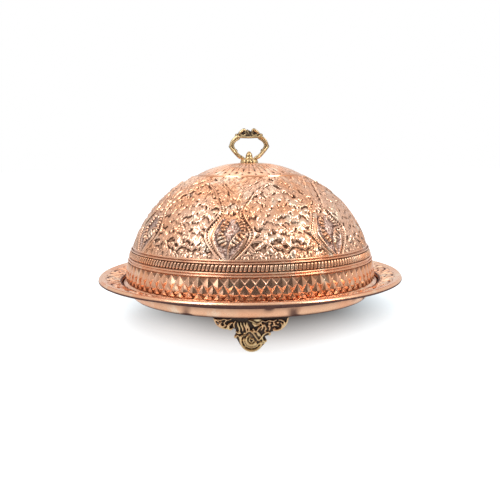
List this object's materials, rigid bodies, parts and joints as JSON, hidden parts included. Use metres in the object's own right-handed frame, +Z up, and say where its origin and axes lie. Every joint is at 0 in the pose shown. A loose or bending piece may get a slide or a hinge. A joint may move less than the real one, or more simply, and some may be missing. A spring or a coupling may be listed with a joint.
{
  "type": "domed platter",
  "caption": "Round footed copper serving platter with a sloping rim, under a tall embossed dome lid that lifts off by a cast ring handle.",
  "frame": {"origin": "on the table, under the middle of the round dish", "axes": "+Z up along the axis of the dish and lid, -Y towards the front foot, X across the front along the ring of the handle"},
  "size_m": [0.3, 0.3, 0.1946],
  "materials": {
    "dish_copper": "polished copper, tinned inside",
    "lid_copper": "embossed copper, darkened in its hollows",
    "rivet_copper": "peened copper",
    "cast_brass": "cast, dark in its hollows",
    "plain_brass": "turned",
    "wire_steel": "plain wire"
  },
  "bodies": {
    "platter": {"dish": "dish_copper", "rim_wire": "wire_steel", "front_foot": "cast_brass", "rear_right_foot": "cast_brass", "rear_left_foot": "cast_brass", "front_foot_left_rivet": "rivet_copper", "front_foot_right_rivet": "rivet_copper", "rear_right_foot_left_rivet": "rivet_copper", "rear_right_foot_right_rivet": "rivet_copper", "rear_left_foot_left_rivet": "rivet_copper", "rear_left_foot_right_rivet": "rivet_copper"},
    "lid": {"lid_dome": "lid_copper", "lid_wire": "wire_steel", "handle_rosette": "cast_brass", "handle_ring": "cast_brass", "acorn_screw": "cast_brass", "inner_washer": "plain_brass", "inner_nut": "plain_brass"}
  },
  "joints": [
    {"name": "lid_lift", "type": "slide", "parent": "platter", "child": "lid", "axis": [0, 0, 1], "range_m": [0, 0.15]}
  ]
}
